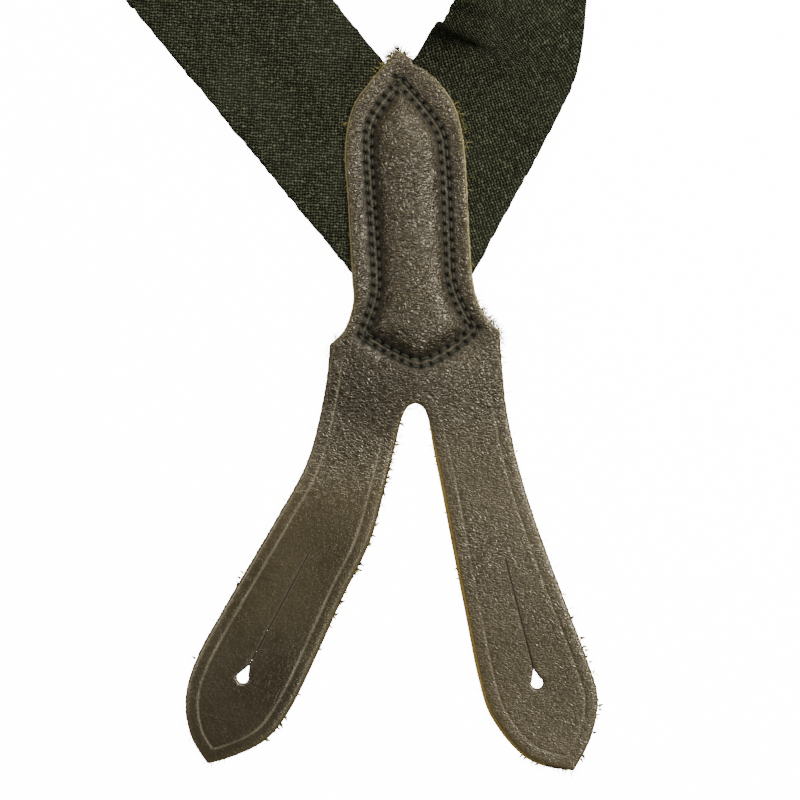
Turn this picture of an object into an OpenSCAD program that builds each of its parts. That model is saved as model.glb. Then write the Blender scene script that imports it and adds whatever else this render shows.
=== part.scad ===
// Button-on suspenders, laid out face up: a leather back yoke with two button tails,
// two elastic straps, and on each front end a length adjuster, a ring and a leather
// button tab. The origin is under the middle of the yoke, +Y runs up the straps.

/* [Straps] */
// Width of the elastic webbing
strap_width = 38; // [30:1:46]
// Thickness of the elastic webbing
strap_thick = 1.6; // [1.2:0.1:2.2]
// Length of each strap from its sweep's start beside the yoke to the ring
strap_run = 840; // [760:10:1100]
// Distance from the ring's upper bar to the middle of the adjuster
adjust_gap = 150; // [120:5:200]

/* [Leather] */
// Thickness of the face leather of the yoke and the tabs
leather_thick = 1.6; // [1.2:0.1:2.2]
// Thickness of the leather backings
backing_thick = 1.2; // [0.8:0.1:1.8]
// Height of the yoke from the tip of its tails to its point
yoke_length = 171; // [140:1:210]
// Width of the yoke across its two tails
yoke_width = 98; // [80:1:120]
// Length of a front tab below the ring
tab_length = 101; // [84:1:124]
// Width of a front tab across its two tails
tab_width = 55; // [46:1:66]
// Diameter of the button holes at the ends of the slits
hole_d = 3.6; // [3:0.1:5]
// Width of the slits above the button holes
slit_width = 0.9; // [0.6:0.1:1.4]

/* [Stitching] */
// Distance from one stitch to the next
stitch_pitch = 2.4; // [1.8:0.1:4]
// Thickness of the sewing thread
thread_d = 0.6; // [0.4:0.05:0.9]

/* [Ring] */
// Diameter of the ring's wire
wire_d = 2.5; // [2:0.1:3.2]
// Distance between the middles of the ring's two long bars
ring_height = 13; // [12:0.5:18]
// Width of the webbing hanger that holds a tab on its ring
hanger_width = 24; // [18:1:30]

/* [Adjuster] */
// Length of the adjuster's back plate along the strap
plate_length = 32; // [28:1:44]
// Thickness of the adjuster's sheet metal
sheet_thick = 1; // [0.8:0.1:1.4]
// Diameter of the lever's hinge pin
pin_d = 1.8; // [1.4:0.1:2.4]
// Number of teeth that grip the strap
tooth_count = 13; // [7:2:17]

/* [Hidden] */
$fn = 48;

// Colours
olive = "#454631";
leather_brown = "#4a3f2a";
thread_green = "#26301f";
old_brass = "#a5874f";
far = 300; // reach of a cutting shape past everything it cuts
touch = 0.05; // gap between parts that lie on each other but move apart
fit = 0.2; // radial clearance round a bar or pin

// Heights of the layers in the yoke and tabs, from the surface they lie on
strap_z = backing_thick;
flange_z = strap_z + strap_thick;
flange_top = flange_z + leather_thick;
panel_z = flange_z + strap_thick;
panel_top = panel_z + leather_thick;

// Curves: a smooth line through hand-chosen points, without its last point
function spline(a, b, c, d, t) =
    (2 * b + (c - a) * t + (2 * a - 5 * b + 4 * c - d) * t * t
        + (3 * b - a - 3 * c + d) * t * t * t) / 2;
function curve(p, steps = 4) =
    [for (i = [0 : len(p) - 2], j = [0 : steps - 1])
        spline(p[max(i - 1, 0)], p[i], p[i + 1], p[min(i + 2, len(p) - 1)], j / steps)];
function flip(p) = [for (i = [len(p) - 1 : -1 : 0]) [-p[i].x, p[i].y]];
function scaled(p, sx, sy) = [for (q = p) [q.x * sx, q.y * sy]];

// Yoke outline, from its point down the left side and back up the right side
yoke_sx = yoke_width / 98;
yoke_sy = yoke_length / 171;
patch_left = [[-3.1, 38], [-8.6, 31.5], [-13.4, 24.6], [-15.2, 14.5], [-14.6, 4], [-13.5, -15],
    [-13.2, -21.5], [-15.2, -27.8], [-19, -31.6]];
patch_right = [[21.2, -28.6], [17.1, -24], [14.8, -17.5], [13.8, -6.2], [13.1, 8.1], [12.1, 18.5],
    [9.6, 26.4], [3.6, 33.8], [-3.1, 38]];
patch_bottom = [[-19, -31.6], [-8, -36], [2, -39], [12, -35], [21.2, -28.6]];
tail_left = [[-19, -31.6], [-20.1, -42], [-24.2, -58.9], [-31.8, -73.2], [-43, -92.2],
    [-50.8, -106.4], [-53.4, -116], [-52.3, -124.5], [-48.2, -131.3]];
inside_left = [[-48.2, -131.3], [-41.5, -129.2], [-34.4, -125.4], [-29, -118.5], [-23, -106.4],
    [-16.6, -92.2], [-9.7, -77.9], [-5.9, -63.7], [-2.1, -49.4], [0.7, -45.1]];
inside_right = [[0.7, -45.1], [4.3, -49.4], [7.8, -63.7], [10.5, -77.9], [14.2, -96.9],
    [17.1, -111.2], [20.4, -120.7], [28.4, -129.8], [39, -133]];
tail_right = [[39, -133], [43, -125.4], [44.7, -116], [42, -106.4], [36.6, -92.2],
    [31.3, -77.9], [26.6, -63.7], [23.3, -49.4], [21.9, -38], [21.2, -28.6]];
face_outline = scaled(concat(curve(patch_left), curve(tail_left), curve(inside_left),
    curve(inside_right), curve(tail_right), curve(patch_right)), yoke_sx, yoke_sy);
patch_outline = scaled(concat(curve(patch_left), curve(patch_bottom), curve(patch_right)),
    yoke_sx, yoke_sy);

// Raised panel of the yoke, and the two stitch rows round it
panel_sides = [[-2.4, 29.8], [-6.8, 22.5], [-8, 15.5], [-6.8, -11], [-6.8, -19], [-9.2, -28]];
panel_foot = [[-9.2, -28], [-3, -31.8], [2.2, -33.8], [7, -31.5], [12.6, -27]];
panel_back = [[12.6, -27], [8.2, -18], [7.2, -8], [6.2, 11], [4.6, 20], [-2.4, 29.8]];
panel_outline = scaled(concat(curve(panel_sides), curve(panel_foot), curve(panel_back)),
    yoke_sx, yoke_sy);
row_left = [[-2.4, 32.1], [-9, 23.4], [-10.7, 15], [-9, -12], [-9.2, -20.5], [-12.4, -29.5]];
row_foot = [[-12.4, -29.5], [-4, -34.6], [2.1, -36.8], [9, -34], [16, -28.5]];
row_right = [[16, -28.5], [11, -18.5], [10, -9], [9, 11.2], [7, 20.5], [-2.4, 32.1]];
row_gap = 1.7; // distance between the two rows

// Where each strap leaves the yoke: a point on its middle line and its heading from +Y
left_exit = [-26.4 * yoke_sx, 30.4 * yoke_sy];
left_heading = -39.6;
right_exit = [20.8 * yoke_sx, 36.5 * yoke_sy];
right_heading = 28;
left_trim = 3.6 * yoke_sx; // the left strap's end stops here, under the right strap
lap = 1.5; // width over which the right strap steps up onto the left one
panel_middle = [0.5 * yoke_sx, -2 * yoke_sy];
// Room for the lapped strap ends inside the panel's walls
lap_outline = [for (q = panel_outline)
    q + (panel_middle - q) / norm(panel_middle - q) * leather_thick];

// A strap's run beyond the yoke, leg by leg: length, heading at its end, roll at its end
// and height at its end. Rolled to 90 degrees the strap stands on its edge to turn back.
left_legs = [[5, left_heading, 0, strap_z], [55, -39.6, 0, 0], [240, -5, 0, 0], [70, -2, 90, 0],
    [110, -178, 90, 0], [70, -180, 0, 0]];
right_legs = [[5, right_heading, 0, strap_z], [12, 28, -16, 0.6], [20, 25, -40, 0],
    [84, 8, -90, 0], [210, 0, -90, 0], [150, 180, -90, 0], [70, 180, 0, 0]];
ring_step = 7; // length of one facet along a strap

function ease(t) = t * t * (3 - 2 * t);
function mix(a, b, t) = a + (b - a) * t;
// Stations along one leg: [x, y, heading, roll, height]
function leg_stations(from, leg) =
    let (n = ceil(leg[0] / ring_step), d = leg[0] / n)
    [for (x = from[0], y = from[1], i = 0; i <= n;
        x = x + d * sin(mix(from[2], leg[1], (i + 0.5) / n)),
        y = y + d * cos(mix(from[2], leg[1], (i + 0.5) / n)),
        i = i + 1)
        [x, y, mix(from[2], leg[1], i / n), mix(from[3], leg[2], ease(i / n)),
            mix(from[4], leg[3], ease(i / n))]];
function route(from, legs, i = 0) =
    i == len(legs) ? [from] :
    let (s = leg_stations(from, legs[i]), last = len(s) - 1)
    concat([for (k = [0 : last - 1]) s[k]], route(s[last], legs, i + 1));
function total(v, i = 0) = i == len(v) ? 0 : v[i][0] + total(v, i + 1);
left_route = route([left_exit.x, left_exit.y, left_heading, 0, strap_z], left_legs);
right_route = route([right_exit.x, right_exit.y, right_heading, 0, strap_z], right_legs);
left_end = left_route[len(left_route) - 1];
right_end = right_route[len(right_route) - 1];
// Middle of each ring's upper bar
left_ring_at = [left_end[0], left_end[1] - strap_run + total(left_legs)];
right_ring_at = [right_end[0], right_end[1] - strap_run + total(right_legs)];

// The four corners of a strap's section at a station
function section(s) =
    let (side = [cos(s[2]), -sin(s[2]), 0], up = [0, 0, 1], r = s[3],
        across = (side * cos(r) + up * sin(r)) * strap_width / 2,
        out = (up * cos(r) - side * sin(r)) * strap_thick / 2,
        mid = [s[0], s[1], s[4] + abs(across.z) + abs(out.z)])
    [mid - across - out, mid + across - out, mid + across + out, mid - across + out];

// Front ends: heights and widths round the ring's bars
plate_z = strap_thick + touch;
plate_top = plate_z + sheet_thick;
fold_z = plate_top + touch;
turn_in = max(wire_d / 2, fold_z / 2 - fit / 2) + fit;
turn_out = turn_in + strap_thick;
bar_z = turn_out;
upper_z = bar_z + turn_in; // underside of the ply above a bar
ring_inside = strap_width + 3;
ring_corner = wire_d / 2 + 1.2;

// Adjuster
plate_inside = strap_width + 4;
ear_thick = sheet_thick + 0.1;
slot_length = 4; // opening for the strap's sewn end
end_bar = 4; // bar of the plate that the sewn end wraps
end_length = 28; // length of the sewn end
anvil_length = 6;
pin_y = plate_length / 2 - 6;
barrel_r = pin_d / 2 + 0.85;
tooth_reach = 0.4;
pin_z = upper_z + strap_thick + touch + tooth_reach + barrel_r;
cover_thick = 1.1;
cover_end = -plate_length / 2 + 1;

// Tab outline: right half, from its point to the crotch between the tails
tab_sx = tab_width / 55;
tab_sy = tab_length / 101;
tab_patch = [[0, -8], [6.6, -12.6], [12, -19], [12.9, -27], [12.6, -34], [16, -41.5]];
tab_tail = [[16, -41.5], [17.4, -50], [20.6, -62], [24.8, -76], [27.5, -88], [26.6, -95],
    [22, -101]];
tab_inside = [[22, -101], [15.4, -98.4], [11, -90], [8.2, -78], [5, -64], [2.6, -55.5], [0, -53]];
tab_row = [[0, -10.6], [5.4, -14.6], [9.9, -19.8], [10.8, -27], [10.6, -34.5], [13.2, -40.6]];
tab_hole = [19.2 * tab_sx, -88 * tab_sy];
tab_slit = [11.6 * tab_sx, -62 * tab_sy];
tab_half = concat(curve(tab_patch), curve(tab_tail), curve(tab_inside));
tab_outline = scaled(concat(tab_half, [[0, -53]], flip(tab_half)), tab_sx, tab_sy);
tab_bottom = -44;
tab_patch_half = concat(curve(tab_patch), [[16, -41.5], [9, tab_bottom]]);
tab_patch_outline = scaled(concat(tab_patch_half, flip(tab_patch_half)), tab_sx, tab_sy);
tab_row_half = curve(tab_row);
tab_row_path = scaled(concat(tab_row_half, [[13.2, -40.6], [0, -44.5]],
    flip(concat(tab_row_half, [[13.2, -40.6]]))), tab_sx, tab_sy);

// Button holes of the yoke
left_hole = [-39.9 * yoke_sx, -111 * yoke_sy];
left_slit = [-24 * yoke_sx, -81 * yoke_sy];
right_hole = [30.2 * yoke_sx, -112.3 * yoke_sy];
right_slit = [22.8 * yoke_sx, -82.9 * yoke_sy];

// Stitches at equal steps along a line
function run_lengths(p) =
    [for (i = 0, s = 0; i < len(p);
        s = s + (i + 1 < len(p) ? norm(p[i + 1] - p[i]) : 0), i = i + 1) s];
function stitch_at(p, run, s) =
    let (k = max([for (i = [0 : len(p) - 2]) if (run[i] <= s) i]), step = p[k + 1] - p[k])
    [p[k] + step * (s - run[k]) / norm(step), atan2(step.y, step.x)];
function off_segment(q, a, b) =
    let (v = b - a, t = max(0, min(1, (q - a) * v / (v * v)))) norm(q - a - v * t);
function off_line(q, p) = min([for (i = [0 : len(p) - 2]) off_segment(q, p[i], p[i + 1])]);
function inset_row(p, d) =
    [for (i = [0 : len(p) - 1])
        let (v = p[min(i + 1, len(p) - 1)] - p[max(i - 1, 0)], q = p[i] + d * [-v.y, v.x] / norm(v))
        if (off_line(q, p) > 0.96 * d) q];
module stitches(path, z, grow = 0) {
    run = run_lengths(path);
    count = round(run[len(run) - 1] / stitch_pitch);
    for (i = [0 : count - 1]) {
        at = stitch_at(path, run, (i + 0.5) * run[len(run) - 1] / count);
        translate([at[0].x, at[0].y, z + thread_d / 2])
            rotate([0, 0, at[1]])
                cube([stitch_pitch * 0.72 + 2 * grow, thread_d + 2 * grow, thread_d + 2 * grow],
                    center = true);
    }
}

// Extrudes a profile drawn in (Y, Z) across X, centred
module across(width) {
    rotate([90, 0, 90]) linear_extrude(width, center = true) children();
}
// A slab of constant thickness that follows a line of (Y, Z) points
module slab(line, thick) {
    polygon(concat(line, [for (i = [len(line) - 1 : -1 : 0]) line[i] + [0, thick]]));
}
// A rectangle of strap lying along a heading, from back to front of a point
module band(at, heading, back, front, grow = 0) {
    translate(at) rotate(-heading)
        translate([-strap_width / 2 - grow, -back])
            square([strap_width + 2 * grow, back + front]);
}
// A button hole with its slit, cut through leather
module keyhole(hole, slit) {
    way = slit - hole;
    translate([hole.x, hole.y, -1]) cylinder(h = leather_thick + 2, d = hole_d);
    translate([hole.x, hole.y, -1])
        rotate([0, 0, atan2(way.y, way.x)])
            translate([0, -slit_width / 2, 0]) cube([norm(way), slit_width, leather_thick + 2]);
}

// Yoke
yoke_row = scaled(concat(curve(row_left), curve(row_foot), curve(row_right), [row_left[0]]),
    yoke_sx, yoke_sy);
inner_side = inset_row(yoke_row, row_gap);
inner_row = concat(inner_side, [inner_side[0]]);
module left_footprint(grow = 0) {
    intersection() {
        band(left_exit, left_heading, 90, -touch, grow);
        union() {
            polygon(patch_outline);
            translate([-far, -far]) square([far - 5 * yoke_sx, 2 * far]);
        }
        translate([-far, -far]) square([far + left_trim + grow, 2 * far]);
    }
}
module lap_room(grow) {
    polygon([for (q = lap_outline) q + (q - panel_middle) / norm(q - panel_middle) * grow]);
}
module lap_footprint(grow = 0) {
    intersection() {
        band(right_exit, right_heading, 90, -touch, grow);
        left_footprint(lap + grow);
        lap_room(grow);
    }
}
module yoke_face() color(leather_brown) {
    ramp_top = -37 * yoke_sy - max(0, strap_width - 38);
    ramp_foot = ramp_top - 21 * yoke_sy;
    difference() {
        union() {
            intersection() {
                linear_extrude(panel_top) polygon(face_outline);
                across(far) slab([[far, flange_z], [ramp_top, flange_z], [ramp_foot, 0], [-far, 0]],
                    leather_thick);
            }
            difference() {
                translate([0, 0, flange_z])
                    linear_extrude(panel_top - flange_z) polygon(panel_outline);
                // room for the inner row of stitches beside the panel
                translate([0, 0, touch]) stitches(inner_row, flange_top, touch);
            }
        }
        translate([0, 0, flange_z - 1]) linear_extrude(panel_z - flange_z + 1)
            lap_footprint(touch);
        keyhole(left_hole, left_slit);
        keyhole(right_hole, right_slit);
    }
}
module yoke_backing() color(leather_brown) linear_extrude(backing_thick) polygon(patch_outline);
module yoke_stitch_outer() color(thread_green) stitches(yoke_row, flange_top);
module yoke_stitch_inner() color(thread_green) stitches(inner_row, flange_top);

// Straps
module sweep(stations) {
    corners = [for (s = stations) each section(s)];
    last = len(corners) - 4;
    sides = [for (i = [0 : 4 : last - 4], k = [0 : 3])
        let (a = i + k, b = i + (k + 1) % 4) each [[a, b, b + 4], [a, b + 4, a + 4]]];
    polyhedron(corners, concat([[3, 2, 1, 0]], sides, [[last, last + 1, last + 2, last + 3]]));
}
// Core that joins a strap's flat hidden end to its sweep
module splice(at, heading) {
    translate([0, 0, strap_z + strap_thick / 4]) linear_extrude(strap_thick / 2)
        band(at, heading, 3, 3, -1);
}
module strap_left() color(olive) {
    translate([0, 0, strap_z]) linear_extrude(strap_thick) left_footprint();
    splice(left_exit, left_heading);
    sweep(left_route);
}
module strap_right() color(olive) {
    translate([0, 0, strap_z]) linear_extrude(strap_thick) difference() {
        intersection() {
            band(right_exit, right_heading, 90, -touch);
            union() {
                polygon(patch_outline);
                translate([-1, 0]) square(far);
            }
        }
        left_footprint(touch);
        translate([-far, -far]) square([far + left_trim, far]);
    }
    translate([0, 0, strap_z]) linear_extrude(2 * strap_thick) difference() {
        lap_footprint();
        left_footprint(touch);
    }
    translate([0, 0, flange_z]) linear_extrude(strap_thick) lap_footprint();
    splice(right_exit, right_heading);
    sweep(right_route);
}

// Front ends, each drawn with the middle of the ring's upper bar over the origin
module front_leg(top) {
    rise_from = adjust_gap + plate_length / 2 + 28;
    rise_to = adjust_gap + plate_length / 2 + 3;
    across(strap_width)
        slab([[top, 0], [rise_from, 0], [rise_to, upper_z], [0.1, upper_z]], strap_thick);
}
module strap_turn() {
    across(strap_width) intersection() {
        translate([0, bar_z]) difference() {
            circle(turn_out);
            circle(turn_in);
        }
        translate([-far, 0]) square([far, far]);
    }
}
module strap_return() {
    across(strap_width)
        translate([0.1, 0]) square([adjust_gap - plate_length / 2 - end_length, strap_thick]);
}
end_rows = [-14, -11]; // rows of stitches, from the plate's back edge
end_row_proud = 0.1; // height of those stitches above the strap's surface
module sewn_end() {
    fold_y = -plate_length / 2 + end_bar + slot_length / 2;
    start = -plate_length / 2 - end_length + 0.6;
    translate([0, adjust_gap, 0]) difference() {
        across(strap_width) {
            translate([start, 0]) square([fold_y - start, strap_thick]);
            translate([fold_y, 0]) square([strap_thick * 0.8, fold_z + strap_thick]);
            translate([start + 8, fold_z]) square([fold_y - start - 8, strap_thick]);
        }
        for (row = end_rows)
            translate([0, row - plate_length / 2, fold_z + strap_thick + end_row_proud])
                cube([strap_width - 6, thread_d + 2 * touch, 2 * thread_d], center = true);
    }
}
module sewn_stitch() {
    half = strap_width / 2 - 4;
    for (row = end_rows) {
        y = adjust_gap - plate_length / 2 + row;
        stitches([[-half, y], [half, y]], fold_z + strap_thick + end_row_proud - thread_d);
    }
}
module adjuster_frame() {
    translate([0, adjust_gap, 0]) difference() {
        union() {
            translate([-plate_inside / 2 - ear_thick, -plate_length / 2, plate_z])
                cube([plate_inside + 2 * ear_thick, plate_length, sheet_thick]);
            translate([-strap_width / 2, pin_y - anvil_length / 2, plate_top])
                cube([strap_width, anvil_length, upper_z - plate_top - touch]);
            for (side = [-1, 1])
                translate([side * (plate_inside + ear_thick) / 2, pin_y, 0]) {
                    translate([0, 0, (plate_z + pin_z) / 2])
                        cube([ear_thick, anvil_length, pin_z - plate_z], center = true);
                    translate([0, 0, pin_z]) rotate([0, 90, 0])
                        cylinder(h = ear_thick, d = anvil_length, center = true);
                }
        }
        translate([-strap_width / 2 - 1, -plate_length / 2 + end_bar, plate_z - 1])
            cube([strap_width + 2, slot_length, sheet_thick + 2]);
        translate([0, pin_y, pin_z]) rotate([0, 90, 0])
            cylinder(h = far, d = pin_d + touch, center = true);
    }
}
module lever_pin() {
    translate([0, adjust_gap + pin_y, pin_z]) rotate([0, 90, 0]) {
        cylinder(h = plate_inside + 2 * ear_thick + 0.4, d = pin_d, center = true);
        for (side = [-1, 1])
            translate([0, 0, side * (plate_inside / 2 + ear_thick + 0.45)])
                cylinder(h = 0.7, d = pin_d + 1.2, center = true);
    }
}
module lever() {
    width = plate_inside - 0.8;
    cover_z = barrel_r - cover_thick;
    tooth_space = (strap_width - 3) / tooth_count;
    translate([0, adjust_gap + pin_y, pin_z]) difference() {
        union() {
            rotate([0, 90, 0]) cylinder(h = width, r = barrel_r, center = true);
            translate([-width / 2, cover_end - pin_y, cover_z])
                cube([width, pin_y - cover_end, cover_thick]);
            for (i = [0 : tooth_count - 1])
                translate([(i - (tooth_count - 1) / 2) * tooth_space, 0, -barrel_r])
                    cube([tooth_space * 0.55, 0.7, 2 * tooth_reach], center = true);
            translate([-width / 2, cover_end - pin_y, cover_z - 0.5])
                cube([width, 2, 0.6]);
        }
        rotate([0, 90, 0]) cylinder(h = far, d = pin_d + 2 * touch, center = true);
    }
}
module ring() {
    half = [ring_inside / 2 + wire_d / 2, ring_height / 2];
    translate([0, -half.y, bar_z]) for (s = [-1, 1]) {
        translate([0, s * half.y, 0]) rotate([0, 90, 0])
            cylinder(h = 2 * (half.x - ring_corner), d = wire_d, center = true);
        translate([s * half.x, 0, 0]) rotate([90, 0, 0])
            cylinder(h = 2 * (half.y - ring_corner), d = wire_d, center = true);
        for (t = [-1, 1])
            translate([s * (half.x - ring_corner), t * (half.y - ring_corner), 0])
                rotate([0, 0, s > 0 ? (t > 0 ? 0 : -90) : (t > 0 ? 90 : 180)])
                    rotate_extrude(angle = 90) translate([ring_corner, 0]) circle(d = wire_d);
    }
}
module at_hanger() {
    translate([0, -ring_height, 0]) children();
}
module tab_hanger() {
    meet = -7.9 * tab_sy;
    foot = -38 * tab_sy;
    at_hanger() across(hanger_width) {
        slab([[foot, strap_z], [meet, strap_z], [-3, 0], [0, 0]], strap_thick);
        slab([[foot, flange_z], [meet, flange_z], [-3, upper_z], [0, upper_z]], strap_thick);
        intersection() {
            translate([0, bar_z]) difference() {
                circle(turn_out);
                circle(turn_in);
            }
            translate([0, 0]) square(far);
        }
    }
}
module tab_backing() {
    at_hanger() linear_extrude(backing_thick) polygon(tab_patch_outline);
}
module tab_face() {
    at_hanger() difference() {
        intersection() {
            linear_extrude(far) polygon(tab_outline);
            across(far) slab([[far, panel_z], [-40 * tab_sy, panel_z], [-62 * tab_sy, 0], [-far, 0]],
                leather_thick);
        }
        for (side = [-1, 1])
            keyhole([side * tab_hole.x, tab_hole.y], [side * tab_slit.x, tab_slit.y]);
    }
}
module tab_stitch() {
    at_hanger() stitches(tab_row_path, panel_top);
}

module at_left() {
    translate([left_ring_at.x, left_ring_at.y, 0]) children();
}
module at_right() {
    translate([right_ring_at.x, right_ring_at.y, 0]) children();
}
module strap_left_front() color(olive) at_left() front_leg(left_end[1] - left_ring_at.y);
module strap_right_front() color(olive) at_right() front_leg(right_end[1] - right_ring_at.y);
module left_strap_turn() color(olive) at_left() strap_turn();
module left_strap_return() color(olive) at_left() strap_return();
module left_sewn_end() color(olive) at_left() sewn_end();
module left_sewn_stitch() color(thread_green) at_left() sewn_stitch();
module left_adjuster_frame() color(old_brass) at_left() adjuster_frame();
module left_lever_pin() color(old_brass) at_left() lever_pin();
module left_lever() color(old_brass) at_left() lever();
module left_ring() color(old_brass) at_left() ring();
module left_tab_hanger() color(olive) at_left() tab_hanger();
module left_tab_backing() color(leather_brown) at_left() tab_backing();
module left_tab_face() color(leather_brown) at_left() tab_face();
module left_tab_stitch() color(thread_green) at_left() tab_stitch();
module right_strap_turn() color(olive) at_right() strap_turn();
module right_strap_return() color(olive) at_right() strap_return();
module right_sewn_end() color(olive) at_right() sewn_end();
module right_sewn_stitch() color(thread_green) at_right() sewn_stitch();
module right_adjuster_frame() color(old_brass) at_right() adjuster_frame();
module right_lever_pin() color(old_brass) at_right() lever_pin();
module right_lever() color(old_brass) at_right() lever();
module right_ring() color(old_brass) at_right() ring();
module right_tab_hanger() color(olive) at_right() tab_hanger();
module right_tab_backing() color(leather_brown) at_right() tab_backing();
module right_tab_face() color(leather_brown) at_right() tab_face();
module right_tab_stitch() color(thread_green) at_right() tab_stitch();

yoke_face();
yoke_backing();
yoke_stitch_outer();
yoke_stitch_inner();
strap_left();
strap_right();
strap_left_front();
strap_right_front();
left_strap_turn();
left_strap_return();
left_sewn_end();
left_sewn_stitch();
left_adjuster_frame();
left_lever_pin();
left_lever();
left_ring();
left_tab_hanger();
left_tab_backing();
left_tab_face();
left_tab_stitch();
right_strap_turn();
right_strap_return();
right_sewn_end();
right_sewn_stitch();
right_adjuster_frame();
right_lever_pin();
right_lever();
right_ring();
right_tab_hanger();
right_tab_backing();
right_tab_face();
right_tab_stitch();
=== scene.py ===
import math

import bpy
import numpy as np
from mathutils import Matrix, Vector
from mathutils.geometry import delaunay_2d_cdt
from mathutils.kdtree import KDTree


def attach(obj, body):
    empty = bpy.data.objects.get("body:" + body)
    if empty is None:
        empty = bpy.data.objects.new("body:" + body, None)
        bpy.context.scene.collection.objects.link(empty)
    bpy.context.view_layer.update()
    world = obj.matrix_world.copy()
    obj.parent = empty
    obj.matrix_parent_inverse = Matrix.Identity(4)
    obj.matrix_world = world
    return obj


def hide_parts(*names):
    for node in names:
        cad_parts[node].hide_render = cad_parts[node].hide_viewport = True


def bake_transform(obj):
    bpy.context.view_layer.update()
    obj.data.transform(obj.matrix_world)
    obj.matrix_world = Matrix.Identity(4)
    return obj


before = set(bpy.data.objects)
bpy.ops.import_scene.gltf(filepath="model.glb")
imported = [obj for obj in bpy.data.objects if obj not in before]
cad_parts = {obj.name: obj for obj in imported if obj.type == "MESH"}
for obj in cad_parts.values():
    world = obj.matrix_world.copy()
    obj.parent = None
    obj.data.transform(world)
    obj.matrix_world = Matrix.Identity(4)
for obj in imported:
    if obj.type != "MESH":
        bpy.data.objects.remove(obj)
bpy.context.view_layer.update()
mm = 0.001
rng = np.random.default_rng(12)
print("frame loaded:", len(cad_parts), "nodes")


# ---- small helpers: all sizes below are in millimetres until a mesh is made

def mix(a, b, t):
    return a + (b - a) * t


def ease(t):
    t = np.clip(t, 0, 1)
    return t * t * (3 - 2 * t)


def bump(d, width):
    return np.exp(-(d / width) ** 2)


def smoothLine(points, steps=8):
    # a Catmull-Rom line through given points, without its last one
    p = [np.array(q, float) for q in points]
    line = []
    for i in range(len(p) - 1):
        a, b, c, d = p[max(i - 1, 0)], p[i], p[i + 1], p[min(i + 2, len(p) - 1)]
        for j in range(steps):
            t = j / steps
            line.append((2 * b + (c - a) * t + (2 * a - 5 * b + 4 * c - d) * t * t
                         + (3 * b - a - 3 * c + d) * t ** 3) / 2)
    return line


def runAlong(points):
    # the distance along a line to each of its points
    return np.concatenate([[0], np.cumsum(np.linalg.norm(np.diff(points, axis=0), axis=1))])


def resample(points, step, closed=True):
    p = np.array(list(points) + ([points[0]] if closed else []), float)
    run = runAlong(p)
    count = max(3, int(round(run[-1] / step)))
    s = np.linspace(0, run[-1], count + 1)
    if closed:
        s = s[:-1]
    return np.stack([np.interp(s, run, p[:, 0]), np.interp(s, run, p[:, 1])], 1)


def leftOf(ahead, least=0.0):
    # the unit vector to the left of each direction
    return np.stack([-ahead[:, 1], ahead[:, 0]], 1) / (np.linalg.norm(ahead, axis=1)[:, None] + least)


def insideOf(points, outline):
    x, y = points[:, 0], points[:, 1]
    found = np.zeros(len(points), bool)
    for (x1, y1), (x2, y2) in zip(outline, np.roll(outline, -1, axis=0)):
        if y1 != y2:
            hit = ((y1 > y) != (y2 > y)) & (x < (x2 - x1) * (y - y1) / (y2 - y1) + x1)
            found ^= hit
    return found


def nearest(points, spots):
    # distance from each point to the nearest of the spots
    tree = KDTree(len(spots))
    for i, q in enumerate(spots):
        tree.insert((q[0], q[1], 0), i)
    tree.balance()
    return np.array([tree.find((q[0], q[1], 0))[2] for q in points])


def distanceTo(points, line, closed=True):
    return nearest(points, resample(line, 0.2, closed))


def addObject(name, data):
    obj = bpy.data.objects.new(name, data)
    bpy.context.scene.collection.objects.link(obj)
    return obj


def makeMesh(name, verts, faces, materials, slots=None, attributes=None):
    mesh = bpy.data.meshes.new(name)
    faces = [tuple(map(int, face)) for face in faces]
    mesh.from_pydata([tuple(v) for v in np.asarray(verts) * mm], [], faces)
    for material in materials:
        mesh.materials.append(material)
    if slots is not None:
        mesh.polygons.foreach_set("material_index", np.asarray(slots, np.int32))
    mesh.polygons.foreach_set("use_smooth", np.full(len(mesh.polygons), True))
    for key, values in (attributes or {}).items():
        values = np.asarray(values, np.float32)
        kind, item = ("FLOAT_VECTOR", "vector") if values.ndim == 2 else ("FLOAT", "value")
        layer = mesh.attributes.new(key, kind, "POINT")
        layer.data.foreach_set(item, values.ravel())
    mesh.update()
    return addObject(name, mesh)


# ---- node helpers

class Nodes:
    # short ways to add and link the nodes of one tree
    prefix = ""

    def __init__(self, tree):
        self.tree = tree

    def add(self, kind, inputs=None, **settings):
        node = self.tree.nodes.new(self.prefix + kind)
        for key, value in settings.items():
            setattr(node, key, value)
        for key, value in (inputs or {}).items():
            self.put(node.inputs[key], value)
        return node

    def put(self, socket, value):
        if isinstance(value, bpy.types.NodeSocket):
            self.tree.links.new(value, socket)
        else:
            socket.default_value = value


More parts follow.
